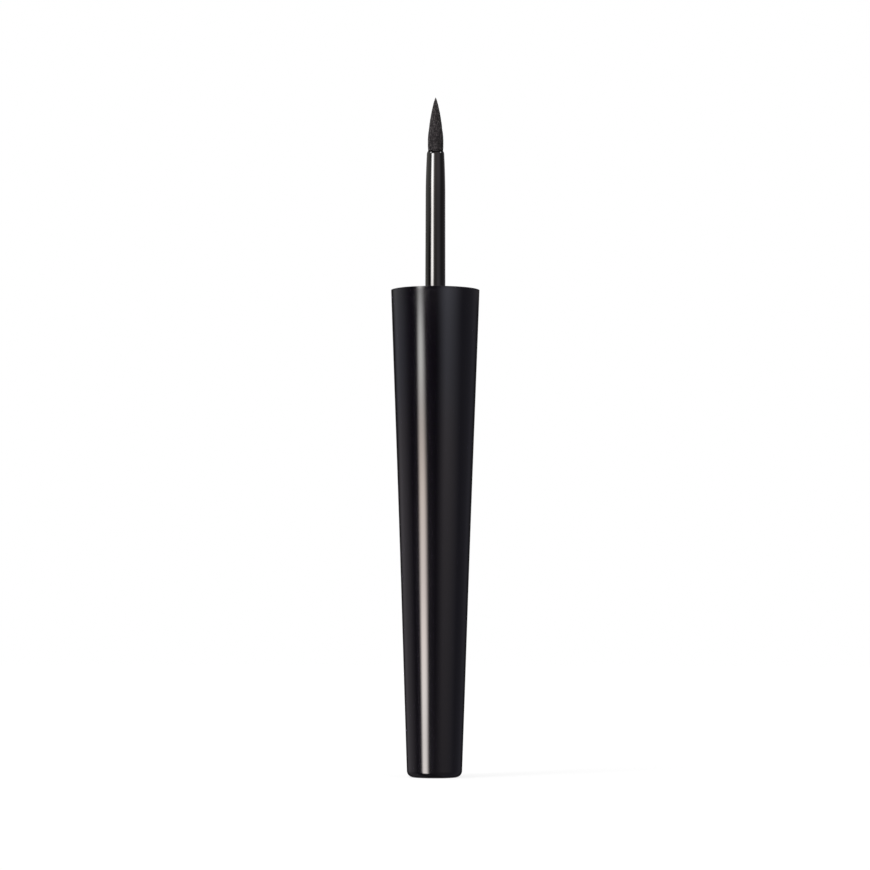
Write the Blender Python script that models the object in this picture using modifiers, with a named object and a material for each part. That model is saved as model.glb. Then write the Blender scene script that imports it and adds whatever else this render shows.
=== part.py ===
"""Dip eyeliner applicator, standing on the closed narrow end of its cap with the felt tip up.

The hand cap is a tapered shell, open at its wide end. A threaded inner cap is pressed into that mouth
and bottoms on ribs inside the shell. The stem snaps into a socket in the inner cap's floor, a foam
washer round the stem's flange seals the bottle's neck, and the felt tip's tail is held in the stem's end.

Metres, +Z up. The origin is the middle of the shell's base, and +Z is the common axis of every piece.
"""

from math import cos, pi, radians, sin

import bmesh
import bpy

MM = 0.001

# Hand shell
handle_length = 71.25 * MM
mouth_radius = 6.50 * MM
tail_radius = 4.00 * MM
waist_depth = 0.05 * MM
shell_wall = 1.00 * MM
tail_floor = 1.60 * MM
base_fillet = 0.98 * MM
inner_fillet = 0.60 * MM
lip_rounding = 0.06 * MM
lip_chamfer = 0.20 * MM
recess_radius = 2.10 * MM
recess_depth = 0.20 * MM
gate_radius = 0.45 * MM
gate_height = 0.09 * MM

# Ribs inside the shell that the inner cap bottoms on
stop_rib_count = 6
stop_rib_thickness = 0.80 * MM
stop_rib_stand = 0.90 * MM
stop_rib_foot_stand = 0.40 * MM

# Inner cap
inner_cap_depth = 15.0 * MM
rim_setback = 0.40 * MM
rim_chamfer = 0.30 * MM
skirt_wall = 0.50 * MM
cap_floor = 1.00 * MM
grip_rib_count = 16
grip_rib_height = 0.15 * MM
grip_rib_width = 0.45 * MM
grip_rib_inset = 1.80 * MM
socket_depth = 5.00 * MM
socket_wall = 0.80 * MM

# Thread inside the inner cap
thread_pitch = 1.80 * MM
thread_turns = 1.75
thread_depth = 0.45 * MM
thread_root_width = 0.95 * MM
thread_crest_width = 0.35 * MM
thread_below_rim = 1.90 * MM
thread_fade_turns = 0.12
thread_end_share = 0.30

# Sealing washer
washer_thickness = 0.85 * MM
washer_clearance = 0.10 * MM
washer_chamfer = 0.10 * MM

# Stem
stem_reach = 20.55 * MM
stem_root_radius = 1.50 * MM
stem_nose_radius = 1.45 * MM
stem_end_radius = 1.29 * MM
nose_length = 7.00 * MM
end_bevel = 0.18 * MM
end_bevel_height = 0.45 * MM
flange_overhang = 0.70 * MM
flange_thickness = 0.70 * MM
flange_chamfer = 0.12 * MM
plug_radius = 1.65 * MM
plug_length = 5.40 * MM
plug_chamfer = 0.35 * MM
bead_height = 0.14 * MM
bead_width = 0.90 * MM
bead_depth = 3.00 * MM

# Felt tip
tip_length = 7.95 * MM
tip_radius = 1.155 * MM
tip_foot_share = 0.96
tip_foot_rounding = 0.08 * MM
tip_belly_height = 1.30 * MM
tip_rise_power = 1.40
tip_round_power = 1.31
tip_tail_radius = 0.80 * MM
tip_tail_length = 6.00 * MM
tip_tail_chamfer = 0.15 * MM

# Fits and facets
fit_gap = 0.05 * MM
weld_distance = 0.0001 * MM
cap_facets = 64
stem_facets = 48
thread_facets_per_turn = 40
fillet_facets = 7
waist_facets = 10
edge_facets = 3
nose_facets = 8
ogive_facets = 18
ogive_spacing_power = 1.5
sharp_angle = radians(35)

# Places that follow from the sizes
seat_z = handle_length - inner_cap_depth
inner_cap_z = seat_z + fit_gap
floor_top_z = inner_cap_z + cap_floor
seated_z = floor_top_z + fit_gap
stem_end_z = handle_length + stem_reach
felt_tip_z = stem_end_z + fit_gap
rim_height = handle_length - rim_setback - inner_cap_z
socket_radius = plug_radius + fit_gap
flange_radius = stem_root_radius + flange_overhang


def taper_radius(z):
    """The shell's straight taper, from its tail to its mouth, at height z."""
    return tail_radius + (mouth_radius - tail_radius) * z / handle_length


def side_radius(z):
    """The shell's outer radius at height z: the taper, drawn in a little towards its middle."""
    return taper_radius(z) - waist_depth * sin(pi * z / handle_length) ** 2


def bore_radius(z):
    """The shell's inner radius at height z, one wall inside the straight taper."""
    return taper_radius(z) - shell_wall


def skirt_radius(z):
    """The inner cap's outer radius between its grip ribs, at height z above its own seat."""
    return bore_radius(inner_cap_z + z) - fit_gap - grip_rib_height


thread_bore_radius = skirt_radius(0) - skirt_wall
thread_crest_radius = thread_bore_radius - thread_depth


def arc(centre, radius, start, end, facets):
    """Points (r, z) on a round, from angle start to angle end in degrees, 0 pointing away from the axis."""
    steps = [radians(start + (end - start) * i / facets) for i in range(facets + 1)]
    return [(centre[0] + radius * cos(a), centre[1] + radius * sin(a)) for a in steps]


def material(name, colour, roughness):
    """A plain surface finish, none of which is metal on this object."""
    made = bpy.data.materials.new(name)
    made.use_nodes = True
    shader = made.node_tree.nodes["Principled BSDF"]
    shader.inputs["Base Color"].default_value = (*colour, 1)
    shader.inputs["Roughness"].default_value = roughness
    shader.inputs["Metallic"].default_value = 0
    return made


def place(obj, collection, height=0.0):
    """Puts an object in a collection, at a height on the common axis."""
    collection.objects.link(obj)
    obj.location = (0, 0, height)
    return obj


def settle(obj):
    """Replaces an object's modifiers with the mesh that they make, shaded smooth but for its edges."""
    bpy.context.view_layer.update()
    evaluated = obj.evaluated_get(bpy.context.evaluated_depsgraph_get())
    mesh = bpy.data.meshes.new_from_object(evaluated)
    obj.modifiers.clear()
    obj.data = mesh
    mesh.name = obj.name
    mesh.shade_smooth()
    mesh.set_sharp_from_angle(angle=sharp_angle)
    return obj


def turned(name, profile, facets, collection, height=0.0, is_ring=False):
    """A solid of revolution about Z from (r, z) points that run down its outer side."""
    mesh = bpy.data.meshes.new(name)
    count = len(profile)
    edges = [(i, i + 1) for i in range(count - 1)]
    if is_ring:
        edges.append((count - 1, 0))
    mesh.from_pydata([(r, 0, z) for r, z in profile], edges, [])
    obj = place(bpy.data.objects.new(name, mesh), collection, height)
    screw = obj.modifiers.new("turn", "SCREW")
    screw.axis = "Z"
    screw.steps = facets
    screw.render_steps = facets
    screw.use_merge_vertices = True
    screw.merge_threshold = weld_distance
    return settle(obj)


def curve_mesh(name, curve, collection):
    """A mesh object from a curve, with its end caps welded on."""
    source = place(bpy.data.objects.new(name + "_curve", curve), collection)
    bpy.context.view_layer.update()
    evaluated = source.evaluated_get(bpy.context.evaluated_depsgraph_get())
    mesh = bpy.data.meshes.new_from_object(evaluated)
    shape = bmesh.new()
    shape.from_mesh(mesh)
    bmesh.ops.remove_doubles(shape, verts=shape.verts, dist=weld_distance)
    bmesh.ops.recalc_face_normals(shape, faces=shape.faces)
    shape.to_mesh(mesh)
    shape.free()
    bpy.data.objects.remove(source)
    return place(bpy.data.objects.new(name, mesh), collection)


def plate(name, outline, thickness, collection):
    """A flat plate that stands in the XZ plane, from (r, z) points, centred on that plane."""
    curve = bpy.data.curves.new(name, "CURVE")
    curve.dimensions = "2D"
    curve.fill_mode = "BOTH"
    curve.extrude = thickness / 2
    spline = curve.splines.new("POLY")
    spline.points.add(len(outline) - 1)
    for point, (r, z) in zip(spline.points, outline):
        point.co = (r, z, 0, 1)
    spline.use_cyclic_u = True
    made = curve_mesh(name, curve, collection)
    made.rotation_euler.x = radians(90)
    return made


def add_all(obj, pieces):
    """Joins pieces into an object as one body."""
    for piece in pieces:
        piece.hide_render = True
        piece.display_type = "WIRE"
        union = obj.modifiers.new("join_" + piece.name, "BOOLEAN")
        union.operation = "UNION"
        union.solver = "EXACT"
        union.object = piece
    return settle(obj)


def ring_of(name, outline, thickness, count, collection):
    """Equal plates that stand round the axis."""
    plates = []
    for i in range(count):
        rib = plate(f"{name}_{i + 1}", outline, thickness, collection)
        rib.rotation_euler.z = 2 * pi * i / count
        plates.append(rib)
    return plates


def outer_shell(parts, helpers):
    """The hand cap: a tapered, slightly waisted tube with a rounded, closed tail and ribs inside it."""
    inner_corner = (bore_radius(tail_floor + inner_fillet) - inner_fillet, tail_floor + inner_fillet)
    lip_corner = (mouth_radius - lip_rounding, handle_length - lip_rounding)
    base_corner = (side_radius(base_fillet) - base_fillet, base_fillet)
    side = []
    for i in range(1, waist_facets):
        z = lip_corner[1] + (base_corner[1] - lip_corner[1]) * i / waist_facets
        side.append((side_radius(z), z))
    profile = [
        (0, tail_floor),
        *arc(inner_corner, inner_fillet, -90, 0, edge_facets),
        (bore_radius(handle_length - lip_chamfer), handle_length - lip_chamfer),
        (bore_radius(handle_length) + lip_chamfer, handle_length),
        *arc(lip_corner, lip_rounding, 90, 0, edge_facets),
        *side,
        *arc(base_corner, base_fillet, 0, -90, fillet_facets),
        (recess_radius, 0),
        (recess_radius - recess_depth, recess_depth),
        (gate_radius, recess_depth),
        (gate_radius, recess_depth - gate_height),
        (0, recess_depth - gate_height),
    ]
    shell = turned("outer_shell", profile, cap_facets, parts)
    foot_z = tail_floor / 2
    in_wall = shell_wall / 2
    rib_outline = [
        (bore_radius(seat_z) - stop_rib_stand, seat_z),
        (bore_radius(seat_z) + in_wall, seat_z),
        (bore_radius(foot_z) + in_wall, foot_z),
        (bore_radius(foot_z) - stop_rib_foot_stand, foot_z),
    ]
    ribs = ring_of("stop_rib", rib_outline, stop_rib_thickness, stop_rib_count, helpers)
    return add_all(shell, ribs)


def thread_ridge(helpers):
    """The inner cap's thread: a trapezoid swept down a right-hand helix, fading out at both ends."""
    in_wall = skirt_wall / 2
    root = thread_root_width / 2
    crest = thread_crest_width / 2
    corners = [(-in_wall, -root), (thread_depth, -crest), (thread_depth, crest), (-in_wall, root)]
    section = bpy.data.curves.new("thread_section", "CURVE")
    section.dimensions = "2D"
    outline = section.splines.new("POLY")
    outline.points.add(len(corners) - 1)
    for point, (inward, up) in zip(outline.points, corners):
        point.co = (inward, up, 0, 1)
    outline.use_cyclic_u = True
    section_object = place(bpy.data.objects.new("thread_section", section), helpers)
    section_object.hide_render = True

    helix = bpy.data.curves.new("thread", "CURVE")
    helix.dimensions = "3D"
    helix.twist_mode = "Z_UP"
    helix.bevel_mode = "OBJECT"
    helix.bevel_object = section_object
    helix.use_fill_caps = True
    steps = round(thread_turns * thread_facets_per_turn)
    spline = helix.splines.new("POLY")
    spline.points.add(steps)
    top_z = rim_height - thread_below_rim
    for i, point in enumerate(spline.points):
        turn = thread_turns * i / steps
        angle = -2 * pi * turn
        fade = min(turn, thread_turns - turn) / thread_fade_turns
        place_on_helix = (thread_bore_radius * cos(angle), thread_bore_radius * sin(angle))
        point.co = (*place_on_helix, top_z - thread_pitch * turn, 1)
        point.radius = thread_end_share + (1 - thread_end_share) * min(1, fade)
    return curve_mesh("thread", helix, helpers)


def inner_cap(parts, helpers):
    """The threaded cap that is pressed into the shell's mouth, with the stem's socket under its floor."""
    bead_z = cap_floor + fit_gap - bead_depth
    groove = bead_width / 2 + fit_gap
    profile = [
        (skirt_radius(rim_height), rim_height),
        (skirt_radius(0), 0),
        (socket_radius + socket_wall, 0),
        (socket_radius + socket_wall, -socket_depth),
        (socket_radius, -socket_depth),
        (socket_radius, bead_z - groove),
        (socket_radius + bead_height, bead_z),
        (socket_radius, bead_z + groove),
        (socket_radius, cap_floor),
        (thread_bore_radius, cap_floor),
        (thread_bore_radius, rim_height - rim_chamfer),
        (thread_bore_radius + rim_chamfer, rim_height),
    ]
    cap = turned("inner_cap", profile, cap_facets, parts, inner_cap_z, is_ring=True)

    ridge = thread_ridge(helpers)
    ridge.location.z = inner_cap_z
    low_z = grip_rib_inset
    high_z = rim_height - grip_rib_inset
    in_wall = skirt_wall / 2
    rib_outline = [
        (skirt_radius(high_z) - in_wall, high_z),
        (skirt_radius(high_z) + grip_rib_height, high_z - grip_rib_height),
        (skirt_radius(low_z) + grip_rib_height, low_z + grip_rib_height),
        (skirt_radius(low_z) - in_wall, low_z),
    ]
    ribs = ring_of("grip_rib", rib_outline, grip_rib_width, grip_rib_count, helpers)
    for rib in ribs:
        rib.location.z = inner_cap_z
    return add_all(cap, [ridge, *ribs])


def sealing_washer(parts):
    """The foam ring that the bottle's neck is screwed against."""
    inner = flange_radius + washer_clearance
    outer = thread_crest_radius - washer_clearance
    profile = [
        (outer - washer_chamfer, washer_thickness),
        (outer, washer_thickness - washer_chamfer),
        (outer, 0),
        (inner, 0),
        (inner, washer_thickness),
    ]
    return turned("sealing_washer", profile, cap_facets, parts, seated_z, is_ring=True)


def stem(parts):
    """The wand: a plug and flange at its root, a slim shank, and a bevelled nose bored for the felt tip."""
    end = stem_end_z - seated_z
    nose_start = end - nose_length
    tip_bore_radius = tip_tail_radius + fit_gap
    nose = []
    for i in range(nose_facets + 1):
        share = 1 - i / nose_facets
        narrowing = (stem_nose_radius - stem_end_radius) * share**2
        nose.append((stem_nose_radius - narrowing, nose_start + (nose_length - end_bevel_height) * share))
    profile = [
        (0, end - tip_tail_length - fit_gap),
        (tip_bore_radius, end - tip_tail_length - fit_gap),
        (tip_bore_radius, end),
        (stem_end_radius - end_bevel, end),
        *nose,
        (stem_root_radius, flange_thickness),
        (flange_radius - flange_chamfer, flange_thickness),
        (flange_radius, flange_thickness - flange_chamfer),
        (flange_radius, 0),
        (plug_radius, 0),
        (plug_radius, bead_width / 2 - bead_depth),
        (plug_radius + bead_height, -bead_depth),
        (plug_radius, -bead_width / 2 - bead_depth),
        (plug_radius, plug_chamfer - plug_length),
        (plug_radius - plug_chamfer, -plug_length),
        (0, -plug_length),
    ]
    return turned("stem", profile, stem_facets, parts, seated_z)


def felt_tip(parts):
    """The nib: a pointed head with a slight belly, and a plain tail that sits in the stem's bore."""
    foot_radius = tip_radius * tip_foot_share
    point_height = tip_length - tip_belly_height
    ogive = []
    for i in range(1, ogive_facets + 1):
        share = 1 - (i / ogive_facets) ** ogive_spacing_power
        radius = tip_radius * (1 - share**tip_rise_power) ** (1 / tip_round_power)
        ogive.append((radius, tip_belly_height + point_height * share))
    belly = []
    for i in range(1, edge_facets + 1):
        share = i / edge_facets
        height = tip_belly_height - (tip_belly_height - tip_foot_rounding) * share
        belly.append((tip_radius - (tip_radius - foot_radius) * share**2, height))
    profile = [
        (0, tip_length),
        *ogive,
        *belly,
        (foot_radius - tip_foot_rounding, 0),
        (tip_tail_radius, 0),
        (tip_tail_radius, tip_tail_chamfer - tip_tail_length),
        (tip_tail_radius - tip_tail_chamfer, -tip_tail_length),
        (0, -tip_tail_length),
    ]
    return turned("felt_tip", profile, stem_facets, parts, felt_tip_z)


def build():
    """Makes the five pieces, gives each its finish, and hangs them on one base."""
    for obj in list(bpy.data.objects):
        bpy.data.objects.remove(obj)
    parts = bpy.data.collections.new("eyeliner_applicator")
    helpers = bpy.data.collections.new("helpers")
    for collection in (parts, helpers):
        bpy.context.scene.collection.children.link(collection)

    gloss = material("gloss_black_plastic", (0.012, 0.012, 0.013), 0.12)
    moulded = material("moulded_black_plastic", (0.020, 0.020, 0.021), 0.45)
    foam = material("white_foam", (0.70, 0.69, 0.66), 0.90)
    felt = material("charcoal_felt", (0.030, 0.029, 0.029), 0.95)
    finishes = {
        outer_shell(parts, helpers): gloss,
        inner_cap(parts, helpers): moulded,
        sealing_washer(parts): foam,
        stem(parts): gloss,
        felt_tip(parts): felt,
    }
    base = place(bpy.data.objects.new("applicator_base", None), parts)
    base.empty_display_size = mouth_radius
    for obj, finish in finishes.items():
        obj.data.materials.clear()
        obj.data.materials.append(finish)
        obj.parent = base


build()
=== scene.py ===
"""Looks of the eyeliner applicator: fine meshes, finishes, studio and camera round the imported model.

Metres, +Z up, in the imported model's frame. Azimuths are degrees round +Z, where 0 faces the camera and
positive turns to the camera's right.
"""

import random
from math import cos, pi, radians, sin, sqrt
from typing import NamedTuple

import bmesh
import bpy
from mathutils import Matrix, Vector, noise


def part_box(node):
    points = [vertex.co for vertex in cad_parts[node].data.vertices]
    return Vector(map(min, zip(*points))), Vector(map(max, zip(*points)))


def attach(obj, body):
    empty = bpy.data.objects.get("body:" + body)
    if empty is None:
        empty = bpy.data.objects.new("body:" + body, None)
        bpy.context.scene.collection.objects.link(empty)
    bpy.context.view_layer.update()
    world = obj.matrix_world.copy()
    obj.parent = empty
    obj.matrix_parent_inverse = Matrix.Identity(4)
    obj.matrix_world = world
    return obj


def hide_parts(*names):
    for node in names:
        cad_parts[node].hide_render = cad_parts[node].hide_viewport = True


MM = 0.001

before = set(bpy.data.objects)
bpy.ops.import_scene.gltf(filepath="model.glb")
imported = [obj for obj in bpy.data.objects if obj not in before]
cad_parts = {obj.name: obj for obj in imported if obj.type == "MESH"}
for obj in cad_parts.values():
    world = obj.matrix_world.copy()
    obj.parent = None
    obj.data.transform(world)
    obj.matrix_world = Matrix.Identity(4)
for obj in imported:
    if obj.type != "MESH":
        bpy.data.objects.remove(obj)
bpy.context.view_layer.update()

# Places that the frame gives
shell_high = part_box("outer_shell")[1]
cap_low, cap_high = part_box("inner_cap")
washer_low, washer_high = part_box("sealing_washer")
stem_low, stem_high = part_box("stem")
tip_low, tip_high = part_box("felt_tip")
rim_z = shell_high.z
mouth_radius = shell_high.x
washer_seat_z = washer_low.z

# Shell
tail_radius = 4.00 * MM
waist_depth = 0.05 * MM
shell_wall = 1.00 * MM
tail_floor = 1.60 * MM
base_fillet = 0.98 * MM
inner_fillet = 0.60 * MM
lip_rounding = 0.03 * MM
edge_support = 0.02 * MM
lip_chamfer = 0.20 * MM
recess_radius = 2.10 * MM
recess_depth = 0.20 * MM
recess_rounding = 0.10 * MM
gate_radius = 0.45 * MM
gate_height = 0.09 * MM
gate_rounding = 0.04 * MM
stop_rib_count = 6
stop_rib_thickness = 0.80 * MM
stop_rib_stand = 0.90 * MM
stop_rib_foot_stand = 0.40 * MM

# Inner cap and its thread
fit_gap = 0.05 * MM
grip_rib_height = 0.15 * MM
grip_rib_width = 0.45 * MM
grip_rib_inset = 1.80 * MM
grip_rib_count = 16
skirt_wall = 0.50 * MM
cap_floor = 1.00 * MM
rim_chamfer = 0.30 * MM
rim_rounding = 0.08 * MM
floor_rounding = 0.20 * MM
plug_radius = 1.65 * MM
plug_chamfer = 0.35 * MM
socket_wall = 0.80 * MM
bead_height = 0.14 * MM
bead_width = 0.90 * MM
bead_depth = 3.00 * MM
thread_pitch = 1.80 * MM
thread_turns = 1.75
thread_depth = 0.45 * MM
thread_root_width = 0.95 * MM
thread_crest_width = 0.35 * MM
thread_below_rim = 1.90 * MM
thread_fade_turns = 0.16
thread_start = radians(1)  # keeps the thread's edges off those of the wall that it joins

# Washer
washer_play = 0.10 * MM
washer_rounding = 0.14 * MM
imprint_radius = 2.95 * MM
imprint_width = 0.55 * MM
imprint_depth = 0.07 * MM
foam_cell = 0.16 * MM
foam_relief = 0.018 * MM

# Stem
flange_thickness = 0.70 * MM
flange_chamfer = 0.12 * MM
flange_root_rounding = 0.15 * MM
stem_root_radius = 1.50 * MM
stem_nose_radius = 1.45 * MM
stem_end_radius = 1.29 * MM
nose_length = 7.00 * MM
end_bevel = 0.18 * MM
end_bevel_height = 0.60 * MM
bore_bevel = 0.04 * MM

# Felt tip
tip_bore_radius = 0.85 * MM
tip_tail_radius = 0.80 * MM
tip_tail_chamfer = 0.15 * MM
tip_foot_share = 0.96
tip_foot_rounding = 0.03 * MM
tip_belly_height = 1.30 * MM
tip_rise_power = 1.40
tip_round_power = 1.31
felt_lump = 0.45 * MM
felt_lump_relief = 0.018 * MM
felt_grain = 0.11 * MM
felt_grain_relief = 0.012 * MM
felt_stretch = 3  # how much longer its lumps and grain are along the axis
felt_point_length = 1.6 * MM
fibre_count = 520
fibre_radius = 0.016 * MM
fibre_sides = 5
fibre_rings = 9
fibre_rise = 0.010 * MM
fibre_rise_shares = (-0.6, 1.0)
fibre_sway = 0.05 * MM
fibre_seed = 7
fibre_start_shares = (0.02, 0.86)  # of the head's length
fibre_start_power = 1.15
fibre_last_share = 0.975
fibre_lengths = (0.4, 1.25)  # in mm
fibre_slant = 0.10
fibre_thickness_shares = (0.6, 1.25)
fibre_end_share = 0.25  # of its thickness, where it ends

# Facets
ring_facets = 256
side_rings = 160
stem_facets = 160
tip_facets = 160
tip_rings = 210
tip_ring_power = 1.3
thread_facets_per_turn = 120
fillet_facets = 20
edge_facets = 6
bevel_facets = 12
nose_facets = 24
stem_rings = 60
washer_face_rings = 24
washer_under_rings = 8
washer_side_rings = 5
tip_foot_rings = 6
tip_tail_rings = 12
floor_facets = 64
panel_facets = 48
room_facets = 32
sharp_angle = radians(40)
felt_sharp_angle = radians(60)
fibre_sharp_angle = radians(80)

# Camera: the photograph is taken as 870 pixels square
picture_width = 870
focal_pixels = 3166.7
sensor_width = 36
camera_distance = 463.4 * MM
camera_height = 23.52 * MM
camera_aside = 0.036 * MM
camera_tilt = radians(3.264)
camera_roll = radians(-0.10)
camera_clip = 10 * MM

# Places that follow
stem_flange_radius = stem_high.x
stem_end_z = stem_high.z
tip_radius = tip_high.x
head_low_z = stem_end_z + fit_gap
head_length = tip_high.z - head_low_z
cap_floor_z = washer_seat_z - fit_gap - cap_floor

# The light wall: a dark ring round the object, with soft bright patches for its gloss
wall_distance = 200 * MM
wall_heights = (*range(-640, -160, 20), *range(-160, 220, 4), *range(220, 301, 20))
wall_columns = 360
wall_dark = 0.015
room_dark = 0.05
room_radius = 1100 * MM
panel_height = 420 * MM
panel_radius = 150 * MM
panel_level = 2.0

# Tints of the light
white = (1.00, 1.00, 1.00)
neutral = (1.01, 1.01, 0.98)
ivory = (1.035, 1.00, 0.97)
pearl = (1.06, 0.99, 0.95)
rose = (1.10, 0.98, 0.92)
warm = (1.13, 0.985, 0.885)
violet = (1.03, 0.95, 1.02)
olive = (1.04, 1.02, 0.94)
cool = (0.96, 0.97, 1.12)
blue = (0.97, 0.94, 1.18)

# Plain lighting, in watts for the lamps, and the floor
ambient = 0.35
lamp_target = (0, 0, 60 * MM)
key_place = (-600 * MM, -520 * MM, 300 * MM)
key_power = 5.0
fill_place = (550 * MM, -560 * MM, 260 * MM)
fill_power = 1.3
overhead_place = (-100 * MM, -100 * MM, 900 * MM)
overhead_power = 3.0
side_lamp_size = 420 * MM
overhead_lamp_size = 700 * MM
floor_radius = 1000 * MM
floor_albedo = 0.25
floor_light = 0.93
floor_white = 1.03
floor_near = 25 * MM
floor_far = 160 * MM

# Colours of the finishes
shell_clean = (0.0027, 0.0020, 0.0040)
shell_worn = (0.0036, 0.0030, 0.0048)
stem_clean = (0.0048, 0.0041, 0.0044)
stem_worn = (0.0060, 0.0054, 0.0055)
moulded_black = (0.018, 0.018, 0.019)
moulded_dark = (0.014, 0.014, 0.015)
moulded_light = (0.024, 0.024, 0.025)
foam_white = (0.72, 0.71, 0.68)
foam_clean = (0.74, 0.73, 0.70)
foam_stained = (0.62, 0.60, 0.56)
felt_shades = ((0.0054, 0.0047, 0.0050), (0.0173, 0.0150, 0.0161), (0.065, 0.058, 0.060))
fibre_shades = ((0.0082, 0.0072, 0.0076), (0.0218, 0.0192, 0.0203), (0.076, 0.068, 0.070))


class Stop(NamedTuple):
    """What a patch of the light wall is at one height in mm; it changes evenly from stop to stop."""

    height: float
    level: float
    tint: tuple
    left: float = 0  # degrees that its left side is moved by
    right: float = 0


class Patch(NamedTuple):
    """A soft patch of the light wall, between azimuths in degrees that may go on past 180."""

    left: tuple  # where it starts, and where it is full
    right: tuple  # where it starts to fade, and where it is gone
    stops: tuple  # from the lowest up


patches = (
    # The key on the shell, and the faint glow beside it
    Patch((-54.5, -42), (-36, -20), (
        Stop(-640, 0.15, pearl), Stop(-126, 0.15, pearl, -1.8), Stop(-105, 15.2, pearl, -1.8),
        Stop(-21, 15.2, pearl, -1.8), Stop(-16, 13.3, pearl, -1.8, 0.4),
        Stop(-5, 15.6, pearl, -1.5, 0.8), Stop(5, 15.0, rose, -1.5, 0.5), Stop(20, 12.5, rose, -1.2),
        Stop(34, 12.0, warm, -0.2), Stop(47, 8.5, warm, 0, -2), Stop(54, 7.5, pearl, 0.6, -2.6),
        Stop(60, 11.3, neutral, 1.2, -3.1), Stop(68, 11.0, neutral, 1.3, -4.4),
        Stop(75, 8.5, white, 2.9, -5.8), Stop(78, 3.6, white, 2.9, -6.8), Stop(86, 0, white, 2.9, -6.8))),
    Patch((-73, -59), (-24, 2), (
        Stop(-640, 0.06, violet), Stop(-126, 0.06, violet), Stop(-60, 0.20, violet),
        Stop(20, 0.20, violet), Stop(45, 0.10, violet), Stop(60, 0.01, violet),
        Stop(78, 0.04, violet), Stop(84, 0, violet))),
    # The key on the stem
    Patch((-59, -41), (-36.5, -11), (
        Stop(84, 0, ivory), Stop(90, 17, ivory, 0.5), Stop(97, 24, ivory, 1.3, 0.5),
        Stop(101, 24, ivory, 1.3), Stop(108, 23.3, ivory, 1.5), Stop(122, 27, ivory),
        Stop(138, 26.5, white, -0.3), Stop(165, 0, white))),
    # The left fill on the shell, then on the stem
    Patch((-153, -124), (-104, -61), (
        Stop(-640, 0.14, violet), Stop(-60, 0.22, violet), Stop(-22, 0.38, violet),
        Stop(42, 0.40, violet, 0, -2), Stop(54, 0.38, violet, 3, -2), Stop(64, 0.37, cool, 3, -1),
        Stop(78, 0.43, cool, 3), Stop(92, 0.46, olive, 0, -6), Stop(104, 0, olive, 0, -6))),
    Patch((-160, -125), (-80, -50), (
        Stop(84, 0, olive, 0, -19), Stop(96, 0.20, olive, 0, -19), Stop(101, 0.37, olive, 0, -19),
        Stop(107, 0.54, olive, 0, -3), Stop(127, 0.66, olive), Stop(180, 0.66, olive),
        Stop(220, 0, olive))),
    # The dark middle
    Patch((-25, -5), (1, 26), (
        Stop(-640, 0.06, violet), Stop(-22, 0.12, violet), Stop(-8, 0.10, violet), Stop(5, 0.07, violet),
        Stop(34, 0.055, violet), Stop(49, 0.02, violet), Stop(62, 0, violet), Stop(72, 0.05, violet),
        Stop(78, 0.16, violet), Stop(96, 0.36, rose), Stop(105, 0.5, rose), Stop(127, 0.78, rose),
        Stop(180, 0.78, rose), Stop(220, 0, rose))),
    # The right fill on the shell, then on the stem
    Patch((1, 32), (38, 86), (
        Stop(-640, 0.14, violet, -1, 3), Stop(-60, 0.22, violet, -1, 3), Stop(-22, 0.34, violet, -1, 3),
        Stop(-8, 0.42, violet, -1, 1), Stop(19, 0.51, violet), Stop(34, 0.60, violet, 0, -1),
        Stop(49, 0.70, violet, 1, -4), Stop(60, 0.78, cool, 1, -6), Stop(68, 0.86, cool, 0, -6),
        Stop(75, 0.92, cool, -1, -9), Stop(79, 1.48, cool, -2, -9), Stop(88, 0.70, cool),
        Stop(96, 0, cool))),
    Patch((6, 25), (36, 78), (
        Stop(88, 0, violet), Stop(96, 0.62, violet), Stop(102, 0.62, violet), Stop(108, 0.57, violet),
        Stop(127, 0.80, violet, 0, 2), Stop(180, 0.76, violet), Stop(220, 0, violet))),
    # The far right, and behind
    Patch((40, 75), (120, 155), (
        Stop(-640, 0.15, blue), Stop(78, 0.15, blue), Stop(96, 0.17, violet, 8),
        Stop(200, 0.17, violet, 8), Stop(240, 0, violet))),
    Patch((121, 137), (150, 164), (
        Stop(86, 0, violet), Stop(92, 0.18, violet), Stop(104, 0.38, violet), Stop(240, 0, violet))),
    Patch((158, 174), (186, 202), (
        Stop(-640, 0.20, violet), Stop(-60, 0.30, violet), Stop(80, 0.42, violet),
        Stop(180, 0.42, violet), Stop(240, 0, violet))),
    # The two glints on the stem's end
    Patch((-80, -72), (-66, -58), (
        Stop(165, 0, white), Stop(178, 20, white), Stop(200, 20, white), Stop(215, 0, white))),
    Patch((64, 72), (78, 86), (
        Stop(165, 0, white), Stop(178, 12, white), Stop(200, 12, white), Stop(215, 0, white))),
)


# Meshes


def arc(centre, radius, start, end, facets=edge_facets):
    """Points (r, z) on a round between two angles in degrees, where 0 points away from the axis."""
    steps = [radians(start + (end - start) * i / facets) for i in range(facets + 1)]
    return [(centre[0] + radius * cos(a), centre[1] + radius * sin(a)) for a in steps]


def divided(start, end, count):
    """Points (r, z) along a straight side, without its ends."""
    shares = [i / count for i in range(1, count)]
    return [(start[0] + (end[0] - start[0]) * s, start[1] + (end[1] - start[1]) * s) for s in shares]


def add_object(name, mesh):
    """A new object in the scene, at the frame's origin."""
    made = bpy.data.objects.new(name, mesh)
    bpy.context.scene.collection.objects.link(made)
    return made


def shade(obj, angle=sharp_angle):
    """Smooth shading that keeps edges sharper than an angle."""
    obj.data.shade_smooth()
    obj.data.set_sharp_from_angle(angle=angle)
    return obj


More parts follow.
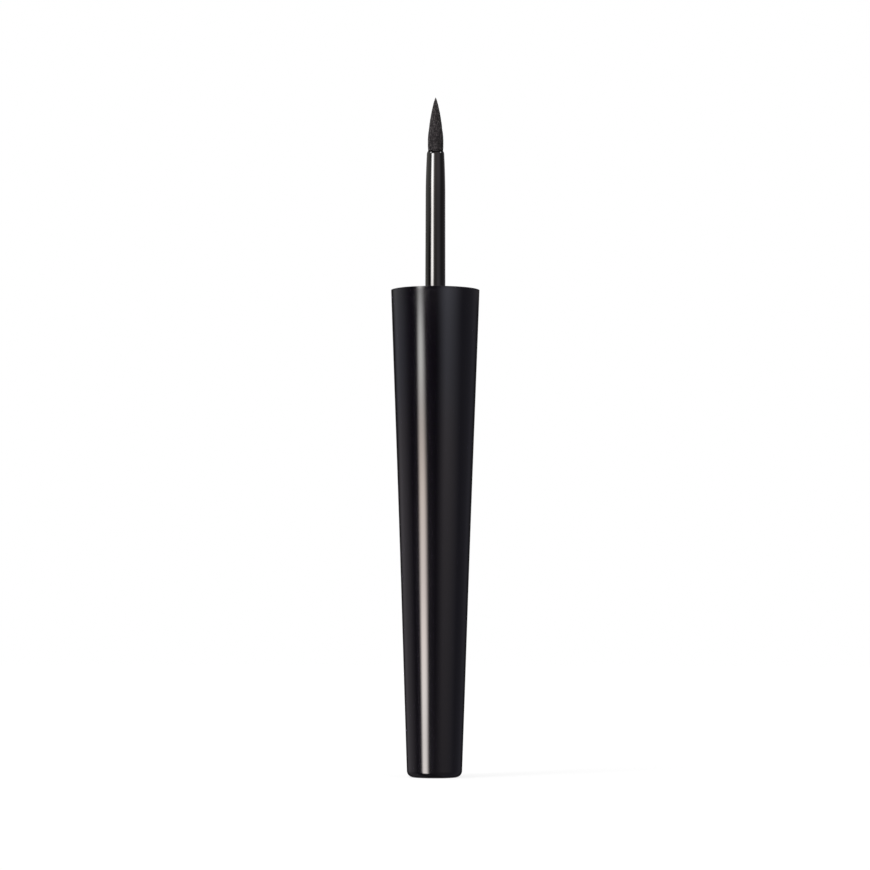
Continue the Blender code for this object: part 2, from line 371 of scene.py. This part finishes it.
def turned(name, profile, facets, is_ring=False):
    """A solid of revolution about Z from (r, z) points that run down its outer side."""
    shape = bmesh.new()
    rings = []
    for r, z in profile:
        if r == 0:
            rings.append([shape.verts.new((0, 0, z))])
            continue
        angles = [2 * pi * i / facets for i in range(facets)]
        rings.append([shape.verts.new((r * cos(a), r * sin(a), z)) for a in angles])
    pairs = list(zip(rings, rings[1:]))
    if is_ring:
        pairs.append((rings[-1], rings[0]))
    for upper, lower in pairs:
        for i in range(facets):
            j = (i + 1) % facets
            corners = [upper[i % len(upper)], lower[i % len(lower)]]
            if len(lower) > 1:
                corners.append(lower[j])
            if len(upper) > 1:
                corners.append(upper[j])
            shape.faces.new(corners)
    bmesh.ops.recalc_face_normals(shape, faces=shape.faces)
    mesh = bpy.data.meshes.new(name)
    shape.to_mesh(mesh)
    shape.free()
    return shade(add_object(name, mesh))


def join_by_union(obj, pieces):
    """Makes one body of an object and the pieces that overlap it."""
    for piece in pieces:
        union = obj.modifiers.new(piece.name, "BOOLEAN")
        union.operation = "UNION"
        union.solver = "EXACT"
        union.object = piece
    bpy.context.view_layer.update()
    evaluated = obj.evaluated_get(bpy.context.evaluated_depsgraph_get())
    mesh = bpy.data.meshes.new_from_object(evaluated)
    obj.modifiers.clear()
    obj.data = mesh
    for piece in pieces:
        bpy.data.objects.remove(piece)
    return shade(obj)


def taper_radius(z):
    """The shell's straight taper, from its tail to its mouth, at height z."""
    return tail_radius + (mouth_radius - tail_radius) * z / rim_z


def side_radius(z):
    """The shell's outer radius at height z: the taper, drawn in a little towards its middle."""
    return taper_radius(z) - waist_depth * sin(pi * z / rim_z) ** 2


def bore_radius(z):
    """The shell's inner radius at height z."""
    return taper_radius(z) - shell_wall


def fin(name, outline, thickness, angle):
    """A flat rib that stands in a plane through the axis, from (r, z) points."""
    shape = bmesh.new()
    sides = []
    for side in (-thickness / 2, thickness / 2):
        sides.append([shape.verts.new((r, side, z)) for r, z in outline])
        shape.faces.new(sides[-1])
    count = len(outline)
    for i in range(count):
        j = (i + 1) % count
        shape.faces.new((sides[0][i], sides[0][j], sides[1][j], sides[1][i]))
    bmesh.ops.recalc_face_normals(shape, faces=shape.faces)
    bmesh.ops.rotate(shape, verts=shape.verts, matrix=Matrix.Rotation(angle, 3, "Z"))
    mesh = bpy.data.meshes.new(name)
    shape.to_mesh(mesh)
    shape.free()
    return add_object(name, mesh)


def make_shell():
    """The hand cap with its rounded lip, rounded tail, moulded recess under it and stop ribs inside."""
    inner_corner = (bore_radius(tail_floor + inner_fillet) - inner_fillet, tail_floor + inner_fillet)
    lip_corner = (mouth_radius - lip_rounding, rim_z - lip_rounding)
    base_corner = (side_radius(base_fillet) - base_fillet, base_fillet)
    lip = arc(lip_corner, lip_rounding, 90, 0, edge_facets)
    tail = arc(base_corner, base_fillet, 0, -90, fillet_facets)
    recess_foot = (recess_radius - recess_depth, recess_depth - recess_rounding)
    high = lip[-1][1] - edge_support
    low = tail[0][1] + edge_support
    side = [high + (low - high) * i / side_rings for i in range(side_rings + 1)]
    profile = [
        (0, tail_floor),
        *arc(inner_corner, inner_fillet, -90, 0),
        (bore_radius(rim_z - lip_chamfer), rim_z - lip_chamfer),
        (bore_radius(rim_z) + lip_chamfer, rim_z),
        *lip,
        *[(side_radius(z), z) for z in side],
        *tail,
        (recess_radius + recess_rounding, 0),
        (recess_radius, 0),
        recess_foot,
        (recess_radius - recess_depth - recess_rounding, recess_depth),
        (gate_radius, recess_depth),
        (gate_radius, recess_depth - gate_height + gate_rounding),
        (gate_radius - gate_rounding, recess_depth - gate_height),
        (0, recess_depth - gate_height),
    ]
    shell = turned("shell_skin", profile, ring_facets)
    foot_z = tail_floor / 2
    seat_z = cap_floor_z - fit_gap
    in_wall = shell_wall / 2
    outline = [
        (bore_radius(seat_z) - stop_rib_stand, seat_z),
        (bore_radius(seat_z) + in_wall, seat_z),
        (bore_radius(foot_z) + in_wall, foot_z),
        (bore_radius(foot_z) - stop_rib_foot_stand, foot_z),
    ]
    ribs = []
    for i in range(stop_rib_count):
        ribs.append(fin(f"stop_rib_{i}", outline, stop_rib_thickness, 2 * pi * i / stop_rib_count))
    return join_by_union(shell, ribs)


def skirt_radius(z):
    """The inner cap's outer radius between its grip ribs, at height z."""
    return bore_radius(z) - fit_gap - grip_rib_height


thread_bore_radius = skirt_radius(cap_floor_z) - skirt_wall


def make_thread():
    """The right-hand thread ridge on the inner cap's wall, which sinks into the wall at both ends."""
    shape = bmesh.new()
    in_wall = skirt_wall / 2
    crest = thread_crest_width / 2
    corner = thread_crest_width / 4
    shoulder = crest + corner / 2
    slope = (thread_root_width / 2 - shoulder) / (thread_depth - corner)
    root = thread_root_width / 2 + slope * in_wall
    section = [
        (-in_wall, root),
        (thread_depth - corner, shoulder),
        (thread_depth, crest - corner / 2),
        (thread_depth, corner / 2 - crest),
        (thread_depth - corner, -shoulder),
        (-in_wall, -root),
    ]
    steps = round(thread_turns * thread_facets_per_turn)
    top_z = cap_high.z - thread_below_rim
    rings = []
    for i in range(steps + 1):
        turn = thread_turns * i / steps
        fade = min(1, min(turn, thread_turns - turn) / thread_fade_turns)
        sink = (1 - sqrt(max(0, 1 - (1 - fade) ** 2))) * (thread_depth + in_wall / 2)
        ring = []
        for inward, up in section:
            r = thread_bore_radius - inward + (sink if inward > 0 else 0)
            angle = thread_start - 2 * pi * turn
            z = top_z - thread_pitch * turn + up
            ring.append(shape.verts.new((r * cos(angle), r * sin(angle), z)))
        rings.append(ring)
    count = len(section)
    for upper, lower in zip(rings, rings[1:]):
        for i in range(count):
            j = (i + 1) % count
            shape.faces.new((upper[i], upper[j], lower[j], lower[i]))
    shape.faces.new(rings[0])
    shape.faces.new(rings[-1])
    bmesh.ops.recalc_face_normals(shape, faces=shape.faces)
    mesh = bpy.data.meshes.new("thread")
    shape.to_mesh(mesh)
    shape.free()
    return add_object("thread", mesh)


def make_inner_cap():
    """The threaded inner cap, with grip ribs outside and the stem's socket under its floor."""
    top = cap_high.z
    socket_radius = plug_radius + fit_gap
    bead_z = washer_seat_z - bead_depth
    groove = bead_width / 2 + fit_gap
    floor_z = cap_floor_z + cap_floor
    outer_corner = (skirt_radius(top) - rim_rounding, top - rim_rounding)
    floor_corner = (thread_bore_radius - floor_rounding, floor_z + floor_rounding)
    profile = [
        *arc(outer_corner, rim_rounding, 90, 0),
        (skirt_radius(cap_floor_z), cap_floor_z),
        (socket_radius + socket_wall, cap_floor_z),
        (socket_radius + socket_wall, cap_low.z),
        (socket_radius, cap_low.z),
        (socket_radius, bead_z - groove),
        (socket_radius + bead_height, bead_z),
        (socket_radius, bead_z + groove),
        (socket_radius, floor_z),
        *arc(floor_corner, floor_rounding, -90, 0),
        (thread_bore_radius, top - rim_chamfer),
        (thread_bore_radius + rim_chamfer, top),
    ]
    cap = turned("inner_cap_fine", profile, ring_facets, is_ring=True)
    high_z = top - grip_rib_inset
    low_z = cap_floor_z + grip_rib_inset
    in_wall = skirt_wall / 2
    outline = [
        (skirt_radius(high_z) - in_wall, high_z),
        (skirt_radius(high_z) + grip_rib_height, high_z - grip_rib_height),
        (skirt_radius(low_z) + grip_rib_height, low_z + grip_rib_height),
        (skirt_radius(low_z) - in_wall, low_z),
    ]
    pieces = [make_thread()]
    for i in range(grip_rib_count):
        pieces.append(fin(f"grip_rib_{i}", outline, grip_rib_width, 2 * pi * i / grip_rib_count))
    return join_by_union(cap, pieces)


def make_washer():
    """The foam ring, with the faint round print of a bottle's neck and a pitted skin."""
    inner = stem_flange_radius + washer_play
    outer = washer_high.x
    low, high = washer_low.z, washer_high.z
    top_outer = arc((outer - washer_rounding, high - washer_rounding), washer_rounding, 90, 0)
    low_outer = arc((outer - washer_rounding, low + washer_rounding), washer_rounding, 0, -90)
    low_inner = arc((inner + washer_rounding, low + washer_rounding), washer_rounding, -90, -180)
    top_inner = arc((inner + washer_rounding, high - washer_rounding), washer_rounding, 180, 90)
    top = []
    for r, z in divided(top_inner[-1], top_outer[0], washer_face_rings):
        share = min(1, abs(r - imprint_radius) / imprint_width)
        top.append((r, z - imprint_depth * (0.5 + 0.5 * cos(pi * share))))
    profile = [
        *top_outer,
        *divided(top_outer[-1], low_outer[0], washer_side_rings),
        *low_outer,
        *divided(low_outer[-1], low_inner[0], washer_under_rings),
        *low_inner,
        *divided(low_inner[-1], top_inner[0], washer_side_rings),
        *top_inner,
        *top,
    ]
    washer = turned("washer_foam", profile, ring_facets, is_ring=True)
    for vertex in washer.data.vertices:
        if vertex.co.z > low + washer_rounding:
            pits = noise.noise(vertex.co / foam_cell) + 0.5 * noise.noise(vertex.co * 2 / foam_cell)
            vertex.co -= vertex.normal * foam_relief * max(0, pits)
    return washer


def make_stem():
    """The wand, from its plug in the socket to its rounded, bored end."""
    low = stem_low.z
    end = stem_end_z
    seat = washer_seat_z
    flange_top = seat + flange_thickness
    nose_start = end - nose_length
    bead_z = seat - bead_depth
    nose = []
    for i in range(nose_facets + 1):
        share = 1 - i / nose_facets
        narrowing = (stem_nose_radius - stem_end_radius) * share**2
        z = nose_start + (nose_length - end_bevel_height) * share
        nose.append((stem_nose_radius - narrowing, z))
    bevel = []
    for i in range(bevel_facets):
        a = radians(90 * i / bevel_facets)
        bevel.append((stem_end_radius - end_bevel * (1 - sin(a)), end - end_bevel_height * (1 - cos(a))))
    root = (stem_root_radius, flange_top)
    root_arc = arc(
        (stem_root_radius + flange_root_rounding, flange_top + flange_root_rounding),
        flange_root_rounding, 180, 270,
    )
    flange_corner = (stem_flange_radius - flange_chamfer, flange_top - flange_chamfer)
    bore_floor = tip_low.z - fit_gap
    profile = [
        (0, bore_floor),
        (tip_bore_radius, bore_floor),
        (tip_bore_radius, end - bore_bevel),
        (tip_bore_radius + bore_bevel, end),
        *bevel,
        *nose,
        *divided(nose[-1], root, stem_rings),
        *root_arc,
        *arc(flange_corner, flange_chamfer, 90, 0),
        (stem_flange_radius, seat),
        (plug_radius, seat),
        (plug_radius, bead_z + bead_width / 2),
        (plug_radius + bead_height, bead_z),
        (plug_radius, bead_z - bead_width / 2),
        (plug_radius, low + plug_chamfer),
        (plug_radius - plug_chamfer, low),
        (0, low),
    ]
    return turned("stem_fine", profile, stem_facets)


def tip_side_radius(height):
    """The felt head's radius at a height: a rounded foot, a slight belly, then a long point."""
    if height >= tip_belly_height:
        share = min(1, (height - tip_belly_height) / (head_length - tip_belly_height))
        return tip_radius * (1 - share**tip_rise_power) ** (1 / tip_round_power)
    share = min(1, (tip_belly_height - height) / (tip_belly_height - tip_foot_rounding))
    radius = tip_radius * (1 - (1 - tip_foot_share) * share**2)
    if height < tip_foot_rounding:
        under = 1 - height / tip_foot_rounding
        radius -= tip_foot_rounding * (1 - sqrt(1 - under**2))
    return radius


def felt_relief(point):
    """How far the felt stands out of its smooth side at a point: lumps, and a grain along the axis."""
    along = Vector((point.x, point.y, point.z / felt_stretch))
    lumps = noise.noise(along / felt_lump) * felt_lump_relief
    grain = noise.noise(along / felt_grain) * felt_grain_relief
    return (lumps + grain) * min(1, (tip_high.z - point.z) / felt_point_length)


def make_tip():
    """The felt head and its tail in the stem's bore."""
    tail = tip_low.z
    neck = (tip_tail_radius, head_low_z)
    tail_end = (tip_tail_radius, tail + tip_tail_chamfer)
    head = []
    for i in range(1, tip_rings):
        height = head_length * (1 - (i / (tip_rings - 1)) ** tip_ring_power)
        head.append((tip_side_radius(height), head_low_z + height))
    profile = [
        (0, tip_high.z),
        *head,
        *divided(head[-1], neck, tip_foot_rings),
        *divided(neck, tail_end, tip_tail_rings),
        tail_end,
        (tip_tail_radius - tip_tail_chamfer, tail),
        (0, tail),
    ]
    tip = turned("tip_felt", profile, tip_facets)
    for vertex in tip.data.vertices:
        out = Vector((vertex.co.x, vertex.co.y, 0))
        if vertex.co.z > head_low_z and out.length > 0:
            vertex.co += out.normalized() * min(felt_relief(vertex.co), out.length / 3)
    return shade(tip, felt_sharp_angle)


def make_fibres():
    """Fine fibres that lie on the felt head, drawn towards its point, with a few loose ends."""
    rng = random.Random(fibre_seed)
    shape = bmesh.new()
    for _ in range(fibre_count):
        start = head_length * rng.uniform(*fibre_start_shares) ** fibre_start_power
        end = min(head_length * fibre_last_share, start + rng.uniform(*fibre_lengths) * MM)
        angle = rng.uniform(0, 2 * pi)
        slant = rng.gauss(0, fibre_slant)
        sway_phase = rng.uniform(0, 2 * pi)
        thickness = fibre_radius * rng.uniform(*fibre_thickness_shares)
        lift = fibre_rise * rng.uniform(*fibre_rise_shares)
        rings = []
        for i in range(fibre_rings):
            s = i / (fibre_rings - 1)
            height = start + (end - start) * s
            radius = tip_side_radius(height)
            bow = sin(pi * s)
            sway = fibre_sway / 2 / max(radius, fibre_sway) * sin(sway_phase + 2 * pi * s)
            turn = angle + slant * s + sway
            surface = Vector((radius * cos(turn), radius * sin(turn), head_low_z + height))
            out = Vector((cos(turn), sin(turn), 0))
            across = Vector((-sin(turn), cos(turn), 0))
            centre = surface + out * (felt_relief(surface) + lift * bow - thickness / 2)
            thin = thickness * (fibre_end_share + (1 - fibre_end_share) * bow)
            ring = []
            for k in range(fibre_sides):
                a = 2 * pi * k / fibre_sides
                ring.append(shape.verts.new(centre + out * thin * cos(a) + across * thin * sin(a)))
            rings.append(ring)
        for lower, upper in zip(rings, rings[1:]):
            for k in range(fibre_sides):
                j = (k + 1) % fibre_sides
                shape.faces.new((lower[k], lower[j], upper[j], upper[k]))
        shape.faces.new(rings[0])
        shape.faces.new(rings[-1])
    bmesh.ops.recalc_face_normals(shape, faces=shape.faces)
    mesh = bpy.data.meshes.new("tip_fibres")
    shape.to_mesh(mesh)
    shape.free()
    return shade(add_object("tip_fibres", mesh), fibre_sharp_angle)


# Finishes


class Finish:
    """A node material round one Principled shader, with short ways to add its textures."""

    def __init__(self, name, colour, roughness, ior=1.5):
        self.material = bpy.data.materials.new(name)
        self.material.use_nodes = True
        self.tree = self.material.node_tree
        self.shader = self.tree.nodes["Principled BSDF"]
        self.shader.inputs["Base Color"].default_value = (*colour, 1)
        self.shader.inputs["Roughness"].default_value = roughness
        self.shader.inputs["IOR"].default_value = ior
        self.place = self.node("ShaderNodeTexCoord").outputs["Object"]

    def node(self, kind, **settings):
        made = self.tree.nodes.new(kind)
        for key, value in settings.items():
            setattr(made, key, value)
        return made

    def link(self, output, socket):
        self.tree.links.new(output, socket)

    def stretched(self, across, along):
        """Object coordinates divided by a grain size across the axis and one along it."""
        mapping = self.node("ShaderNodeMapping")
        mapping.inputs["Scale"].default_value = (1 / across, 1 / across, 1 / along)
        self.link(self.place, mapping.inputs["Vector"])
        return mapping.outputs["Vector"]

    def noise(self, across, along=None, detail=2.0, roughness=0.5):
        texture = self.node("ShaderNodeTexNoise")
        texture.inputs["Scale"].default_value = 1
        texture.inputs["Detail"].default_value = detail
        texture.inputs["Roughness"].default_value = roughness
        self.link(self.stretched(across, along or across), texture.inputs["Vector"])
        return texture.outputs["Fac"]

    def cells(self, across, along=None):
        texture = self.node("ShaderNodeTexVoronoi", feature="F1")
        texture.inputs["Scale"].default_value = 1
        self.link(self.stretched(across, along or across), texture.inputs["Vector"])
        return texture.outputs["Distance"]

    def mapped(self, value, low, high, to_low, to_high):
        """A value moved from one range to another and kept inside it."""
        node = self.node("ShaderNodeMapRange", clamp=True)
        ends = {"From Min": low, "From Max": high, "To Min": to_low, "To Max": to_high}
        for name, number in ends.items():
            node.inputs[name].default_value = number
        self.link(value, node.inputs["Value"])
        return node.outputs["Result"]

    def combined(self, operation, first, second):
        node = self.node("ShaderNodeMath", operation=operation)
        for socket, value in zip(node.inputs, (first, second)):
            if isinstance(value, (int, float)):
                socket.default_value = value
            else:
                self.link(value, socket)
        return node.outputs["Value"]

    def colours(self, share, stops):
        """A colour ramp from (place, colour) stops."""
        ramp = self.node("ShaderNodeValToRGB")
        elements = ramp.color_ramp.elements
        while len(elements) < len(stops):
            elements.new(1)
        for element, (at, colour) in zip(elements, stops):
            element.position = at
            element.color = (*colour, 1)
        self.link(share, ramp.inputs["Fac"])
        return ramp.outputs["Color"]

    def bump(self, heights):
        """Bumps one after another, each (height value, real depth in metres)."""
        normal = None
        for value, depth in heights:
            node = self.node("ShaderNodeBump")
            node.inputs["Strength"].default_value = 1
            node.inputs["Distance"].default_value = depth
            self.link(value, node.inputs["Height"])
            if normal is not None:
                self.link(normal, node.inputs["Normal"])
            normal = node.outputs["Normal"]
        self.link(normal, self.shader.inputs["Normal"])


def gloss_plastic(name, clean, worn, roughness, smudge, peel_depth):
    """Polished black moulded plastic: faint orange peel, hairline scratches and handling smudges."""
    finish = Finish(name, clean, roughness)
    blotches = finish.noise(7 * MM, 16 * MM, detail=3)
    hair = finish.noise(0.05 * MM, 3.5 * MM, detail=1)
    scratch = finish.mapped(hair, 0.64, 0.78, 0, 1)
    smear = finish.mapped(blotches, 0.35, 0.70, roughness, roughness + smudge)
    finish.link(finish.combined("ADD", smear, finish.combined("MULTIPLY", scratch, 0.03)),
                finish.shader.inputs["Roughness"])
    grime = finish.mapped(blotches, 0.45, 0.75, 0, 1)
    finish.link(finish.colours(grime, ((0, clean), (1, worn))), finish.shader.inputs["Base Color"])
    peel = finish.noise(0.9 * MM, 1.6 * MM, detail=2)
    waves = finish.noise(6 * MM, 11 * MM, detail=1)
    finish.bump(((waves, 4 * peel_depth), (peel, peel_depth), (scratch, peel_depth / 4)))
    return finish.material


def moulded_plastic():
    """As-moulded black polypropylene with a fine spark-eroded grain."""
    finish = Finish("moulded_black", moulded_black, 0.42)
    grain = finish.noise(0.07 * MM, detail=3)
    flow = finish.noise(1.8 * MM, 4 * MM, detail=2)
    finish.link(finish.mapped(flow, 0.3, 0.7, 0.36, 0.50), finish.shader.inputs["Roughness"])
    finish.link(finish.colours(flow, ((0.3, moulded_dark), (0.7, moulded_light))),
                finish.shader.inputs["Base Color"])
    finish.bump(((grain, 0.004 * MM),))
    return finish.material


def foam():
    """White closed-cell foam with fine pits."""
    finish = Finish("white_foam", foam_white, 0.85)
    cells = finish.cells(0.11 * MM)
    stain = finish.noise(0.9 * MM, detail=3)
    finish.link(finish.colours(stain, ((0.3, foam_clean), (0.75, foam_stained))),
                finish.shader.inputs["Base Color"])
    finish.bump(((cells, 0.03 * MM),))
    return finish.material


def felt(name, dark, mid, light):
    """Bonded black fibre: speckled charcoal, fully matte, its grain drawn along the axis."""
    finish = Finish(name, mid, 0.95)
    finish.shader.inputs["Sheen Weight"].default_value = 0.10
    finish.shader.inputs["Sheen Roughness"].default_value = 0.5
    finish.shader.inputs["Specular IOR Level"].default_value = 0.25
    fleck = finish.noise(0.21 * MM, 0.27 * MM, detail=3, roughness=0.6)
    thread = finish.noise(0.035 * MM, 0.30 * MM, detail=2)
    both = finish.combined("ADD", finish.combined("MULTIPLY", fleck, 0.75),
                           finish.combined("MULTIPLY", thread, 0.25))
    finish.link(finish.colours(both, ((0.34, dark), (0.49, mid), (0.60, light))),
                finish.shader.inputs["Base Color"])
    finish.bump(((fleck, 0.03 * MM), (thread, 0.012 * MM)))
    return finish.material


# Studio


def rise(x, start, full):
    """0 on the near side of start, 1 beyond full, with a smooth way between them."""
    t = min(1, max(0, (x - start) / (full - start)))
    return t * t * (3 - 2 * t)


def patch_at(patch, height):
    """What a patch is at a height in mm, between its stops, or None above and below them."""
    for low, high in zip(patch.stops, patch.stops[1:]):
        if low.height <= height <= high.height:
            s = (height - low.height) / (high.height - low.height)
            tint = tuple(a + (b - a) * s for a, b in zip(low.tint, high.tint))
            level, left, right = (
                a + (b - a) * s
                for a, b in ((low.level, high.level), (low.left, high.left), (low.right, high.right)))
            return Stop(height, level, tint, left, right)
    return None


def wall_light(azimuth, height):
    """The colour of the light wall at an azimuth in degrees and a height in mm."""
    total = [wall_dark] * 3
    for patch in patches:
        stop = patch_at(patch, height)
        if stop is None:
            continue
        start, full = patch.left
        fade, gone = patch.right
        turn = azimuth if azimuth > start + stop.left else azimuth + 360
        share = rise(turn, start + stop.left, full + stop.left)
        share *= rise(turn, gone + stop.right, fade + stop.right)
        for k in range(3):
            total[k] += share * stop.level * stop.tint[k]
    return (*total, 1)


def glow(name, level=1.0, attribute=None):
    """A plain light for what only reflections see, whose colour may come from the mesh."""
    material = bpy.data.materials.new(name)
    material.use_nodes = True
    material.cycles.emission_sampling = "NONE"
    tree = material.node_tree
    tree.nodes.clear()
    out = tree.nodes.new("ShaderNodeOutputMaterial")
    light = tree.nodes.new("ShaderNodeEmission")
    light.inputs["Strength"].default_value = level
    if attribute:
        colour = tree.nodes.new("ShaderNodeAttribute")
        colour.attribute_name = attribute
        tree.links.new(colour.outputs["Color"], light.inputs["Color"])
    tree.links.new(light.outputs[0], out.inputs["Surface"])
    return material


def only_in_reflections(obj, material):
    """Keeps a card out of the picture, the shadows and the plain lighting."""
    obj.data.materials.append(material)
    obj.visible_camera = False
    obj.visible_diffuse = False
    obj.visible_shadow = False
    return obj


def make_light_wall():
    """A ring round the object that the gloss reflects, lit by soft patches."""
    points = []
    light = []
    for height in wall_heights:
        for column in range(wall_columns):
            azimuth = 360 * column / wall_columns - 180
            a = radians(azimuth)
            points.append((wall_distance * sin(a), -wall_distance * cos(a), height * MM))
            light.extend(wall_light(azimuth, height))
    faces = []
    for row in range(len(wall_heights) - 1):
        for column in range(wall_columns):
            near = row * wall_columns + column
            far = row * wall_columns + (column + 1) % wall_columns
            faces.append((near, far, far + wall_columns, near + wall_columns))
    mesh = bpy.data.meshes.new("light_wall")
    mesh.from_pydata(points, [], faces)
    mesh.attributes.new("light", "FLOAT_COLOR", "POINT").data.foreach_set("color", light)
    only_in_reflections(add_object("light_wall", mesh), glow("wall_glow", attribute="light"))


def make_room():
    """A dark closed room beyond the light wall, and a soft panel overhead."""
    shape = bmesh.new()
    bmesh.ops.create_cone(
        shape, cap_ends=True, segments=room_facets,
        radius1=room_radius, radius2=room_radius, depth=2 * room_radius)
    mesh = bpy.data.meshes.new("room")
    shape.to_mesh(mesh)
    shape.free()
    only_in_reflections(add_object("room", mesh), glow("room_glow", room_dark))
    shape = bmesh.new()
    bmesh.ops.create_circle(shape, cap_ends=True, segments=panel_facets, radius=panel_radius)
    mesh = bpy.data.meshes.new("overhead_panel")
    shape.to_mesh(mesh)
    shape.free()
    panel = only_in_reflections(add_object("overhead_panel", mesh), glow("panel_glow", panel_level))
    panel.location.z = panel_height


def lamp(name, place, size, power):
    """A soft area lamp, turned to the object and left out of reflections."""
    data = bpy.data.lights.new(name, "AREA")
    data.shape = "DISK"
    data.size = size
    data.energy = power
    made = add_object(name, data)
    made.location = place
    made.rotation_euler = (Vector(lamp_target) - Vector(place)).to_track_quat("-Z", "Y").to_euler()
    made.visible_glossy = False
    made.visible_camera = False
    return made


def make_lamps():
    """The plain light that colours are seen by: a key from the front left, a fill and one overhead."""
    lamp("key_lamp", key_place, side_lamp_size, key_power)
    lamp("fill_lamp", fill_place, side_lamp_size, fill_power)
    lamp("overhead_lamp", overhead_place, overhead_lamp_size, overhead_power)


def make_world():
    """White behind the object, and a plain soft grey for what lights it."""
    world = bpy.data.worlds.new("studio")
    bpy.context.scene.world = world
    world.use_nodes = True
    tree = world.node_tree
    light = tree.nodes["Background"]
    backdrop = tree.nodes.new("ShaderNodeBackground")
    path = tree.nodes.new("ShaderNodeLightPath")
    seen = tree.nodes.new("ShaderNodeMath")
    seen.operation = "MAXIMUM"
    also = tree.nodes.new("ShaderNodeMath")
    also.operation = "MAXIMUM"
    mix = tree.nodes.new("ShaderNodeMixShader")
    light.inputs["Color"].default_value = (1, 1, 1, 1)
    light.inputs["Strength"].default_value = ambient
    backdrop.inputs["Color"].default_value = (1, 1, 1, 1)
    backdrop.inputs["Strength"].default_value = 1
    tree.links.new(path.outputs["Is Camera Ray"], seen.inputs[0])
    tree.links.new(path.outputs["Is Glossy Ray"], seen.inputs[1])
    tree.links.new(seen.outputs[0], also.inputs[0])
    tree.links.new(path.outputs["Is Transmission Ray"], also.inputs[1])
    tree.links.new(also.outputs[0], mix.inputs["Fac"])
    tree.links.new(light.outputs[0], mix.inputs[1])
    tree.links.new(backdrop.outputs[0], mix.inputs[2])
    tree.links.new(mix.outputs[0], tree.nodes["World Output"].inputs["Surface"])


def make_floor():
    """A pale floor that shows white to the camera and keeps the object's soft shadow."""
    shape = bmesh.new()
    bmesh.ops.create_circle(shape, cap_ends=True, segments=floor_facets, radius=floor_radius)
    mesh = bpy.data.meshes.new("floor")
    shape.to_mesh(mesh)
    shape.free()
    floor = add_object("floor", mesh)
    material = bpy.data.materials.new("pale_floor")
    material.use_nodes = True
    tree = material.node_tree
    tree.nodes.clear()
    out = tree.nodes.new("ShaderNodeOutputMaterial")
    paint = tree.nodes.new("ShaderNodeBsdfDiffuse")
    glowing = tree.nodes.new("ShaderNodeEmission")
    total = tree.nodes.new("ShaderNodeAddShader")
    path = tree.nodes.new("ShaderNodeLightPath")
    place = tree.nodes.new("ShaderNodeTexCoord")
    far = tree.nodes.new("ShaderNodeVectorMath")
    far.operation = "LENGTH"
    tree.links.new(place.outputs["Object"], far.inputs[0])
    fades = []
    near_glow = floor_white - floor_albedo * floor_light
    for near_value, far_value in ((floor_albedo, 0), (near_glow, floor_white)):
        fade = tree.nodes.new("ShaderNodeMapRange")
        fade.interpolation_type = "SMOOTHSTEP"
        fade.inputs["From Min"].default_value = floor_near
        fade.inputs["From Max"].default_value = floor_far
        fade.inputs["To Min"].default_value = near_value
        fade.inputs["To Max"].default_value = far_value
        tree.links.new(far.outputs["Value"], fade.inputs["Value"])
        fades.append(fade.outputs["Result"])
    seen = tree.nodes.new("ShaderNodeMath")
    seen.operation = "MULTIPLY"
    tree.links.new(path.outputs["Is Camera Ray"], seen.inputs[0])
    tree.links.new(fades[1], seen.inputs[1])
    tree.links.new(fades[0], paint.inputs["Color"])
    tree.links.new(seen.outputs[0], glowing.inputs["Strength"])
    tree.links.new(paint.outputs[0], total.inputs[0])
    tree.links.new(glowing.outputs[0], total.inputs[1])
    tree.links.new(total.outputs[0], out.inputs["Surface"])
    mesh.materials.append(material)
    floor.visible_glossy = False
    floor.visible_shadow = False


def make_camera():
    """The camera, level with the object's lower part and tilted up a little."""
    data = bpy.data.cameras.new("camera")
    data.sensor_width = sensor_width
    data.lens = focal_pixels * sensor_width / picture_width
    data.clip_start = camera_clip
    camera = add_object("camera", data)
    camera.location = (camera_aside, -camera_distance, camera_height)
    camera.rotation_euler = (pi / 2 + camera_tilt, camera_roll, 0)
    bpy.context.scene.camera = camera


def dress(piece, material, slot, *nodes):
    """Gives a piece its finish, ties it to the body, and hides the CAD nodes it stands for."""
    piece.data.materials.clear()
    piece.data.materials.append(material)
    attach(piece, "root")
    if nodes:
        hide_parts(*nodes)


def main():
    shell_gloss = gloss_plastic(
        "shell_gloss", shell_clean, shell_worn, roughness=0.10, smudge=0.04, peel_depth=0.0010 * MM)
    stem_gloss = gloss_plastic(
        "stem_gloss", stem_clean, stem_worn, roughness=0.04, smudge=0.01, peel_depth=0.0003 * MM)
    tip_body = felt("tip_felt_body", *felt_shades)
    tip_fibre = felt("tip_felt_fibre", *fibre_shades)
    dress(make_shell(), shell_gloss, "shell_plastic", "outer_shell")
    dress(make_inner_cap(), moulded_plastic(), "inner_cap_plastic", "inner_cap")
    dress(make_washer(), foam(), "washer_foam", "sealing_washer")
    dress(make_stem(), stem_gloss, "stem_plastic", "stem")
    dress(make_tip(), tip_body, "tip_felt", "felt_tip")
    dress(make_fibres(), tip_fibre, "tip_felt")
    make_world()
    make_floor()
    make_light_wall()
    make_room()
    make_lamps()
    make_camera()
    bpy.context.scene.view_settings.view_transform = "Standard"


main()
